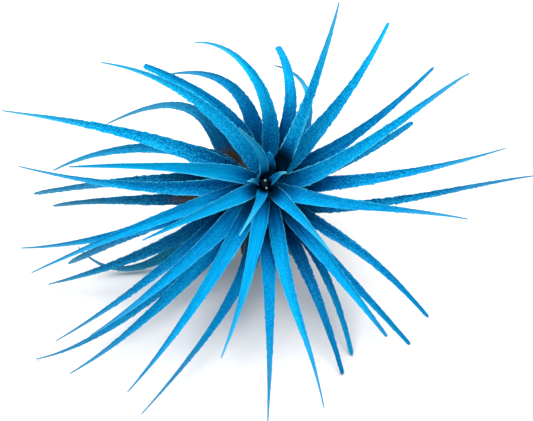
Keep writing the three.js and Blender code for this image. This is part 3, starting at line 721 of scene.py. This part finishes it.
def sheath_piece(name, middle, axis, out, root, via, tip, width, material):
    """A dry papery sheath: a broad thin blade whose free end is torn by seeded noise along
    each column, with ribs along it as a cosine of across, and margins that curl and fray.
    root, via and tip are each a distance out from the middle and a place along the axis."""

    def at(distance, along):
        return middle + out * distance + axis * along

    s = np.linspace(0, 1, SHEATH_STATIONS)
    path = blade_frame(at(*root), [at(*via)], at(*tip), np.cross(axis, out), s)
    full = blade_width(s, width, SHEATH_TIP_WIDTH * TORN_END_WIDTH, SHEATH_NECK)
    full = full * np.sqrt(np.clip(1 - np.clip((s - 0.82) / 0.18, 0, 1) ** 2 * 0.9, 0.02, 1))
    full = full * (1 + wobble(s, 5, SHEATH_WANDER))
    thick = blend(SHEATH_THICKNESS, SHEATH_TIP_THICKNESS, s)
    grid, outward = blade_surface(
        path, s, SHEATH_COLUMNS, full / 2, thick, SHEATH_CHANNEL, np.zeros_like(s)
    )
    angle = section_angles(SHEATH_COLUMNS)
    u = np.cos(angle)[None, :]
    rough = soft_noise(SHEATH_STATIONS, SHEATH_COLUMNS, 2) * SHEATH_GRAIN
    ribs = np.cos(u * RIB_TURNS * np.pi) * RIB_HEIGHT + rough
    tears = rng.uniform(0, DEEPEST_TEAR, TEAR_PLACES)
    torn = np.interp(np.abs(angle - np.pi), np.linspace(0, np.pi, TEAR_PLACES), tears)
    grid = grid + (ribs * (1 - 0.6 * np.abs(u) ** 6))[..., None] * outward
    length = np.linalg.norm(grid[-1].mean(0) - grid[0].mean(0))
    pull = (ease(s, 0.55, 1)[:, None] * torn[None, :])[..., None]
    grid = grid - pull * path[1][:, None] * min(1.0, length / SHORT_SHEATH)
    curl = rng.uniform(LEAST_CURL, MOST_CURL)
    lifted = (ease(s, 0.3, 1)[:, None] * np.abs(u) ** 3 * curl)[..., None]
    grid = grid + lifted * path[3][:, None]
    grid[..., 2] = np.maximum(grid[..., 2], SHEATH_CLEARANCE)
    none = np.zeros((SHEATH_STATIONS, SHEATH_COLUMNS))
    across_mm = full[:, None] / 2 * u + rng.uniform(0, GRAIN_OFFSET)
    along_mm = (s * length)[:, None] + none
    shade = none + SHADED_STAINED_SHEATHS.get(name, 0)
    looks = {
        "blade": np.stack([across_mm, along_mm, none], -1),
        "husk": np.stack([s[:, None] + none, np.abs(u) + none, shade], -1),
    }
    surface = closed_tube(grid, looks)
    finish_piece("papery_" + name, surface, NO_FACETS, material, name)


# The stem, in millimetres. Scales of old leaf bases cover it, so many round it, in rows that far
# apart. The last number is how much of the fibres' pattern goes round it.

STEM_COLUMNS = 96
SCALES_ROUND = 7
SCALE_ROW = 2.3
CONE_RELIEF = 0.75
FOOT_RELIEF = 0.8
STEM_GRAIN = 0.05
THINNEST = 0.02
PATTERN_ROUND = 40

# The cone's outline: where its stations lie behind the throat, and its rounded lower end.

CONE_STATIONS = (
    np.linspace(22.9, 20, 12), np.linspace(19.9, 0.2, 90), np.array([-0.3, -0.7, -0.95])
)
CONE_END = 3.05
FOOT_STATIONS = (np.array([0.0, 0.05]), np.linspace(0.3, 17.2, 76))

# Points of the growing bud: to the right and up from the throat, and radius.

BUD_POINTS = ((0.14, 1.0, 0.34), (0.45, -0.8, 0.3))
BUD_HEIGHT = 1.5
BUD_STATIONS = 9


def scallops(turns, rows_up):
    """Overlapping scale bases: two sets of saw teeth up the stem, half a scale apart both
    ways, each tooth's edge arched round the stem. Gives 0 in the creases to 1 at the edges."""

    def one(shift):
        arch = np.abs(np.cos(np.pi * (turns * SCALES_ROUND + shift)))
        up = rows_up / 2 + shift - 0.42 * arch
        tooth = up - np.floor(up)
        return tooth * (1 - 0.35 * arch**6) * (1 - ease(tooth, 0.93, 1.0) * 0.8)

    return np.maximum(one(0.0), one(0.5))


def turned_part(middle, axis, east, north, along, radius, relief, shade):
    """A stretch of stem turned round an axis: at each place along it the radius, plus relief
    times the overlapping scallops. shade is how dark each place along it is."""
    turns = np.arange(STEM_COLUMNS) / STEM_COLUMNS
    angle = 2 * np.pi * turns
    pattern = scallops(turns[None, :], (along / SCALE_ROW)[:, None])
    rough = soft_noise(len(along), STEM_COLUMNS, 2) * STEM_GRAIN
    wide = np.maximum(radius[:, None] + relief[:, None] * (pattern + rough), THINNEST)
    ring = np.cos(angle)[:, None] * east + np.sin(angle)[:, None] * north
    grid = middle + wide[..., None] * ring[None] + along[:, None, None] * axis
    none = np.zeros_like(wide)
    return closed_tube(grid, {
        "blade": np.stack([turns * PATTERN_ROUND + none, along[:, None] + none, none], -1),
        "husk": np.stack([pattern, none, shade[:, None] + none], -1),
    })


def bud_point(right, up, radius):
    """A pale point of the growing bud, on the stem's top: a drop whose radius is the sine of
    the way up it, drawn in towards the tip."""
    way = np.linspace(0.02, 0.98, BUD_STATIONS)
    wide = radius * np.sin(np.pi * way) * (1.25 - 0.5 * way)
    angle = section_angles(STEM_COLUMNS)
    ring = np.cos(angle)[:, None] * ACROSS + np.sin(angle)[:, None] * UPWARD
    out = (way * BUD_HEIGHT)[:, None, None] * OUTWARD
    grid = place(right, up, 0.0) + wide[:, None, None] * ring[None] + out
    none = np.zeros(grid.shape[:2])
    return closed_tube(grid, {
        "blade": np.stack([none, none, none], -1), "husk": np.stack([none, none, none - 1], -1),
    })


def stem_piece(material):
    """The stem: the leafy cone along the rosette's axis, whose two ends are rounded as
    ellipses, and the upright foot, both covered with the brown bases of old leaves, and the
    bud's points. The cone is painted near black near the throat, as painted shade of the deep
    rosette."""
    back = np.concatenate(CONE_STATIONS)
    ended = np.sqrt(np.clip(1 - ((back - CONE_LENGTH) / CONE_END) ** 2, 0, 1))
    radius = cone_radius(np.clip(back, 0, None))
    radius = np.where(back > CONE_LENGTH, ended * cone_radius(CONE_LENGTH), radius)
    radius = np.where(back < 0, CONE_TOP_RADIUS * np.sqrt(np.clip(1 - back**2, 0, 1)), radius)
    relief = CONE_RELIEF * ease(back, 9, 16)
    # Painted shade: near black by the throat.
    shade = 1 - ease(back, 9, 17)
    parts = [turned_part(THROAT, OUTWARD, ACROSS, UPWARD, -back, radius, relief, shade)]
    parts += [bud_point(*each) for each in BUD_POINTS]
    height = np.concatenate(FOOT_STATIONS)
    east, north, upright = np.eye(3)
    relief = FOOT_RELIEF * ease(height, 0.1, 2.5)
    parts.append(turned_part(
        np.zeros(3), upright, east, north, height, foot_radius(height), relief, 0 * height
    ))
    name = "stem_with_old_leaf_bases"
    finish_piece(name, joined(parts), NO_FACETS, material, "stem")


# Materials


def node(tree, kind, inputs=(), **settings):
    """A shader node. inputs pairs a socket's name or number with a value or a linked socket."""
    made = tree.nodes.new(kind)
    for key, value in settings.items():
        setattr(made, key, value)
    for key, value in dict(inputs).items():
        if isinstance(value, bpy.types.NodeSocket):
            tree.links.new(value, made.inputs[key])
        else:
            made.inputs[key].default_value = value
    return made


def plus(tree, a, b):
    """The sum of two numbers or sockets."""
    return node(tree, "ShaderNodeMath", {0: a, 1: b}, operation="ADD").outputs[0]


def times(tree, a, b, clamp=False):
    """The product of two numbers or sockets, held in 0 to 1 where clamp is set."""
    made = node(tree, "ShaderNodeMath", {0: a, 1: b}, operation="MULTIPLY", use_clamp=clamp)
    return made.outputs[0]


def swing(tree, value, strength):
    """Noise in 0 to 1, turned into a swing round 0 of that strength."""
    return times(tree, plus(tree, value, -0.5), strength)


def rgba(colour):
    """A colour's three numbers with nothing see-through. A socket stays as it is."""
    return (*colour, 1) if isinstance(colour, tuple) else colour


def mixed(tree, share, a, b, blend_type="MIX"):
    """Colour a turned towards colour b by a share."""
    inputs = {0: share, 6: rgba(a), 7: rgba(b)}
    made = node(tree, "ShaderNodeMix", inputs, data_type="RGBA", blend_type=blend_type)
    return made.outputs[2]


def fitted(tree, value, low, high, to_low=0.0, to_high=1.0):
    """A number brought from one range to another, and held inside it."""
    inputs = {0: value, 1: low, 2: high, 3: to_low, 4: to_high}
    return node(tree, "ShaderNodeMapRange", inputs, clamp=True).outputs[0]


def own_vector(tree, name):
    """One of the piece's own attributes."""
    return node(tree, "ShaderNodeAttribute", attribute_name=name).outputs["Vector"]


def own_numbers(tree, name):
    """The three numbers of one of the piece's own attributes."""
    split = node(tree, "ShaderNodeSeparateXYZ", {0: own_vector(tree, name)})
    return split.outputs[0], split.outputs[1], split.outputs[2]


def noise(tree, spot, scale, detail=2.0, stretch=None):
    """Noise in 0 to 1 at a spot, with its place scaled along the axes where that is asked."""
    if stretch is not None:
        spot = node(tree, "ShaderNodeMapping", {0: spot, 3: stretch}).outputs[0]
    inputs = {"Vector": spot, "Scale": scale, "Detail": detail}
    return node(tree, "ShaderNodeTexNoise", inputs).outputs[0]


def ramp(tree, value, stops):
    """A colour for each value, in straight lines between the stops."""
    made = node(tree, "ShaderNodeValToRGB", {0: value})
    marks = made.color_ramp.elements
    while len(marks) < len(stops):
        marks.new(0.5)
    for mark, (position, colour) in zip(marks, stops):
        mark.position = position
        mark.color = rgba(colour)
    return made.outputs[0]


def relief_of(tree, height, strength, distance):
    """The directions of a face whose height stands out by a distance in metres."""
    inputs = {"Strength": strength, "Distance": distance, "Height": height}
    return node(tree, "ShaderNodeBump", inputs).outputs[0]


def new_material(name):
    """A material with an empty node tree, and the places on a piece that wears it."""
    material = bpy.data.materials.new(name)
    material.use_nodes = True
    tree = material.node_tree
    tree.nodes.clear()
    return material, tree, node(tree, "ShaderNodeTexCoord").outputs["Object"]


def finish_shader(tree, inputs):
    """The shader of a material, joined to its output."""
    shader = node(tree, "ShaderNodeBsdfPrincipled", inputs)
    node(tree, "ShaderNodeOutputMaterial", {0: shader.outputs[0]})


# The leaf skin's patterns: waves a metre, or waves a millimetre across and along the blade,
# and how strongly each swings the dye.

PATCHES = 160.0
PATCH_SWING = 0.25
FIBRES = (4.5, 0.16, 1.0)
FIBRE_SWING = 0.45
BANDS = (1.1, 0.035, 1.0)
BAND_SWING = 0.9
SKIN_GRAIN = 2600.0
DYE_LEVEL = 0.6

# The leaf skin's colours, apart from the dyes.

# Painted shade in the gaps between scales.
GAP_SHADE_TINT = (0.15, 0.42, 0.65)
# Painted shine along the margins.
RIM_SHINE_BLUE = (0.08, 0.62, 0.87)
TENDER_BLUE = (0.17, 0.74, 0.86)
WORN_GREY = (0.10, 0.29, 0.42)
DRY_BROWNS = ((0.3, (0.05, 0.028, 0.016)), (0.7, (0.27, 0.15, 0.08)))
GLOSS_TINT = (0.0, 0.7, 1.0)


def leaf_material(name, dye, speck):
    """Dyed leaf skin. The colour runs from near black in the throat, painted shade of the deep
    rosette, through navy to the dye's full colour, with fibres along the blade, painted highlights
    on fine scales above painted shade in the gaps between them, a painted shine on the margins,
    grey tips and a dry brown base. The painted light on a scale that stands proud comes with each
    scale."""
    material, tree, objects = new_material(name)
    blade = own_vector(tree, "blade")
    dye_and_shade, tip, brown = own_numbers(tree, "growth")
    margin, scales, light = own_numbers(tree, "skin")
    teal, tender, _ = own_numbers(tree, "wash")

    patches = noise(tree, objects, PATCHES)
    fibres = noise(tree, blade, 1.0, 2.0, FIBRES)
    bands = noise(tree, blade, 1.0, 1.0, BANDS)
    uneven = swing(tree, patches, PATCH_SWING)
    streak = plus(tree, swing(tree, fibres, FIBRE_SWING), swing(tree, bands, BAND_SWING))
    streak = times(tree, streak, fitted(tree, dye_and_shade, 0.1, 0.6))
    level = plus(tree, plus(tree, dye_and_shade, uneven), streak)
    level = times(tree, level, DYE_LEVEL, clamp=True)
    colour = mixed(tree, teal, ramp(tree, level, dye), ramp(tree, level, TEAL_DYE))

    # Painted shade in the gaps between fine scales, then painted highlights on the scales, and on those
    # that stand proud.
    fine = noise(tree, objects, SKIN_GRAIN, 1.0)
    gap = times(tree, fitted(tree, fine, 0.50, 0.40), scales)
    colour = mixed(tree, gap, colour, mixed(tree, 1.0, colour, GAP_SHADE_TINT, "MULTIPLY"))
    lit = mixed(tree, 0.5, colour, speck)
    spot = times(tree, fitted(tree, fine, 0.54, 0.63), scales)
    spot = times(tree, spot, fitted(tree, dye_and_shade, 0.2, 0.8))
    colour = mixed(tree, spot, colour, lit)
    proud = times(tree, fitted(tree, light, 0.0, 1.0, 0.0, 0.85), fitted(tree, dye_and_shade, 0.1, 0.8))
    colour = mixed(tree, proud, colour, lit)

    # Painted shine along the margins, fainter where the leaf is in painted shade.
    rim_shine = times(tree, margin, fitted(tree, dye_and_shade, 0.08, 0.4))
    rim_shine = times(tree, rim_shine, fitted(tree, patches, 0.4, 0.6, 0.4, 1.0))
    colour = mixed(tree, rim_shine, colour, RIM_SHINE_BLUE)
    colour = mixed(tree, tender, colour, TENDER_BLUE)
    worn = times(tree, tip, fitted(tree, fibres, 0.3, 0.7, 0.6, 1.0))
    colour = mixed(tree, times(tree, worn, 0.85), colour, WORN_GREY)
    dried = fitted(tree, plus(tree, brown, uneven), 0.35, 0.75)
    colour = mixed(tree, dried, colour, ramp(tree, fibres, DRY_BROWNS))

    height = plus(tree, times(tree, fine, scales), times(tree, fibres, 0.5))
    finish_shader(tree, {
        "Base Color": colour,
        "Roughness": fitted(tree, scales, 0.0, 1.0, 0.48, 0.7),
        "Specular IOR Level": 0.1,
        "Specular Tint": rgba(GLOSS_TINT),
        "Normal": relief_of(tree, height, 0.35, 0.00012),
    })
    return material


# The husk's patterns, in waves as above, and its colours, apart from its browns.

HUSK_FIBRES = (3.4, 0.25, 1.0)
HUSK_PATCHES = 210.0
HUSK_GRAIN = 1900.0
DYE_RUNS = 120.0
CREASE_SHADE = 0.35
WORN_EDGE = (0.34, 0.25, 0.17)
# Painted shade of the deep rosette, on the stem by the throat and on the sheaths beside it.
THROAT_SHADE_NAVY = (0.0025, 0.007, 0.013)
BUD_PALE = (0.22, 0.52, 0.66)


def husk_material(name, dark, tan, stain):
    """Dry brown leaf base: streaks along the fibres from dark to tan, pale worn edges, painted
    shade in the creases and towards each sheath's root, blue where the dye has run into it, near
    black by the throat as painted shade of the deep rosette, and pale on the bud's points."""
    material, tree, objects = new_material(name)
    along, across, shade = own_numbers(tree, "husk")
    fibres = noise(tree, own_vector(tree, "blade"), 1.0, 3.0, HUSK_FIBRES)
    patches = noise(tree, objects, HUSK_PATCHES, 3.0)
    streak = plus(tree, times(tree, fibres, 0.7), times(tree, patches, 0.3))
    brown = tuple(blend(np.array(dark), np.array(tan), 0.45))
    colour = ramp(tree, streak, ((0.32, dark), (0.5, brown), (0.68, tan)))
    crease = fitted(tree, along, 0.0, 0.45, 0.7, 0.0)
    colour = mixed(tree, crease, colour, tuple(CREASE_SHADE * each for each in dark))
    colour = mixed(tree, fitted(tree, across, 0.8, 1.0, 0.0, 0.5), colour, WORN_EDGE)
    run = fitted(tree, noise(tree, objects, DYE_RUNS), 0.5, 0.68, 0.0, 0.75)
    colour = mixed(tree, run, colour, stain)
    colour = mixed(tree, fitted(tree, shade, 0.0, 1.0), colour, THROAT_SHADE_NAVY)
    colour = mixed(tree, fitted(tree, shade, 0.0, -1.0), colour, BUD_PALE)
    fine = noise(tree, objects, HUSK_GRAIN)
    height = plus(tree, times(tree, fibres, 0.8), times(tree, fine, 0.5))
    finish_shader(tree, {
        "Base Color": colour,
        "Roughness": fitted(tree, fibres, 0.3, 0.7, 0.62, 0.85),
        "Specular IOR Level": 0.12,
        "Normal": relief_of(tree, height, 0.6, 0.0002),
    })
    return material


PAPER_WHITES = ((0.3, (0.86, 0.87, 0.885)), (0.7, (0.88, 0.885, 0.895)))


def floor_material():
    """Plain white paper, with a faint unevenness."""
    material, tree, objects = new_material("white paper")
    colour = ramp(tree, noise(tree, objects, 30.0, 3.0), PAPER_WHITES)
    finish_shader(tree, {"Base Color": colour, "Roughness": 0.9, "Specular IOR Level": 0.1})
    return material


# The dyes, from the darkest level, which is painted shade deep in the throat, to the lightest.

FRESH_DYE = (
    (0.0, (0.0010, 0.008, 0.018)),
    (0.10, (0.0008, 0.036, 0.105)),
    (0.30, (0.0005, 0.138, 0.39)),
    (0.51, (0.0005, 0.255, 0.565)),
    (0.69, (0.0008, 0.340, 0.67)),
    (0.86, (0.0020, 0.430, 0.78)),
    (1.0, (0.0040, 0.520, 0.90)),
)
DEEP_DYE = (
    (0.0, (0.0008, 0.007, 0.016)),
    (0.10, (0.0008, 0.031, 0.090)),
    (0.30, (0.0005, 0.102, 0.30)),
    (0.51, (0.0005, 0.182, 0.445)),
    (0.69, (0.0008, 0.260, 0.54)),
    (0.86, (0.0020, 0.370, 0.69)),
    (1.0, (0.0030, 0.450, 0.80)),
)
TEAL_DYE = (
    (0.0, (0.0015, 0.008, 0.014)),
    (0.10, (0.0030, 0.034, 0.060)),
    (0.30, (0.0060, 0.095, 0.18)),
    (0.51, (0.0140, 0.190, 0.31)),
    (0.69, (0.0280, 0.285, 0.43)),
    (0.86, (0.0700, 0.420, 0.58)),
    (1.0, (0.0900, 0.490, 0.66)),
)

# The light on scales, and the husks' dark and tan browns and the blue that runs into them.

BLUE_SPECK = (0.03, 0.62, 0.89)
TEAL_SPECK = (0.05, 0.5, 0.72)
SHEATH_BROWNS = ((0.055, 0.032, 0.02), (0.30, 0.19, 0.11), (0.02, 0.11, 0.19))
STEM_BROWNS = ((0.04, 0.024, 0.016), (0.20, 0.125, 0.075), (0.012, 0.08, 0.15))

leaf_materials = {
    "fresh_blue_leaf": leaf_material("fresh blue leaf skin", FRESH_DYE, BLUE_SPECK),
    "deep_blue_leaf": leaf_material("deep blue leaf skin", DEEP_DYE, BLUE_SPECK),
    "teal_leaf": leaf_material("teal leaf skin", DEEP_DYE, TEAL_SPECK),
}
sheath_material = husk_material("dry papery sheath", *SHEATH_BROWNS)
stem_material = husk_material("brown stem bases", *STEM_BROWNS)

# The plant

for each in LEAVES:
    leaf_piece(each, leaf_materials)

stem_piece(stem_material)

for name, bearing, reach, rise in CONE_SHEATHS:
    turn = math.radians(bearing)
    out = math.cos(turn) * ACROSS + math.sin(turn) * UPWARD
    seat = cone_radius(CONE_SHEATH_BACK) + SEAT_GAP + BLADE_THICKNESS * 0.5
    root = (seat, -CONE_SHEATH_BACK)
    arched = rise / 2 + reach * CONE_SHEATH_ARCH - CONE_SHEATH_BACK
    tip = (seat + reach, rise - CONE_SHEATH_BACK)
    sheath_piece(
        name, THROAT, OUTWARD, out, root, (seat + reach / 2, arched), tip,
        CONE_SHEATH_WIDTH, sheath_material,
    )

for name, bearing, width, start, via, tip in FOOT_SHEATHS:
    turn = math.radians(bearing)
    out = np.array([math.cos(turn), math.sin(turn), 0.0])
    root = (float(foot_radius(np.array(start))) + 2 * SEAT_GAP, start)
    upright = np.array([0.0, 0.0, 1.0])
    sheath_piece(
        name, np.zeros(3), upright, out, root, via, tip, width, sheath_material
    )

# The floor reaches that many metres each way.

FLOOR = 1.5

floor_mesh = bpy.data.meshes.new("floor")
floor_mesh.from_pydata(
    [(-FLOOR, -FLOOR, 0), (FLOOR, -FLOOR, 0), (FLOOR, FLOOR, 0), (-FLOOR, FLOOR, 0)],
    [], [(0, 1, 2, 3)],
)
floor_mesh.materials.append(floor_material())
floor = bpy.data.objects.new("floor", floor_mesh)
bpy.context.scene.collection.objects.link(floor)


def put_in(name, data, right, up, back, spot):
    """A lamp or camera at a spot, with its three directions. It looks against the last."""
    made = bpy.data.objects.new(name, data)
    rows = [[right[i], up[i], back[i], spot[i]] for i in range(3)]
    made.matrix_world = Matrix(rows + [[0, 0, 0, 1]])
    bpy.context.scene.collection.objects.link(made)
    return made


# The light: one square soft box overhead, in metres and watts, and a pale room round it.

SOFT_BOX_PLACE = np.array([-0.04, 0.03, 0.80])
SOFT_BOX_AIM = np.array([0, -0.01, 0.03])
SOFT_BOX_SIZE = 0.90
SOFT_BOX_POWER = 11.9
SOFT_BOX_COLOUR = (1.0, 0.975, 0.945)
ROOM_COLOUR = (1.0, 0.99, 0.97)
ROOM_LIGHT = 0.42

lamp = bpy.data.lights.new("overhead soft box", "AREA")
lamp.size = SOFT_BOX_SIZE
lamp.energy = SOFT_BOX_POWER
lamp.color = SOFT_BOX_COLOUR
forward = unit(SOFT_BOX_AIM - SOFT_BOX_PLACE)
right = unit(np.cross(forward, [0.0, 1.0, 0.001]))
put_in(lamp.name, lamp, right, np.cross(right, forward), -forward, SOFT_BOX_PLACE)

world = bpy.data.worlds.new("studio")
world.use_nodes = True
background = world.node_tree.nodes["Background"]
background.inputs[0].default_value = rgba(ROOM_COLOUR)
background.inputs[1].default_value = ROOM_LIGHT
bpy.context.scene.world = world
bpy.context.scene.view_settings.view_transform = "Standard"
bpy.context.scene.view_settings.look = "None"

# The camera looks down the rosette's axis from a distance in millimetres. The throat's place in
# the picture sets its shift.

PICTURE = (533, 421)
THROAT_PIXEL = (264.6, 184.8)
EYE_DISTANCE = 420.0
MM_PER_PIXEL = 0.24
SENSOR = 36.0

eye = (THROAT + OUTWARD * EYE_DISTANCE) * MM
camera_data = bpy.data.cameras.new("camera")
camera_data.sensor_width = SENSOR
camera_data.lens = SENSOR * EYE_DISTANCE / (MM_PER_PIXEL * PICTURE[0])
camera_data.shift_x = (PICTURE[0] / 2 - THROAT_PIXEL[0]) / PICTURE[0]
camera_data.shift_y = (THROAT_PIXEL[1] - PICTURE[1] / 2) / PICTURE[0]
camera_data.clip_start = 0.01
camera_data.clip_end = 20
bpy.context.scene.camera = put_in("camera", camera_data, ACROSS, UPWARD, OUTWARD, eye)
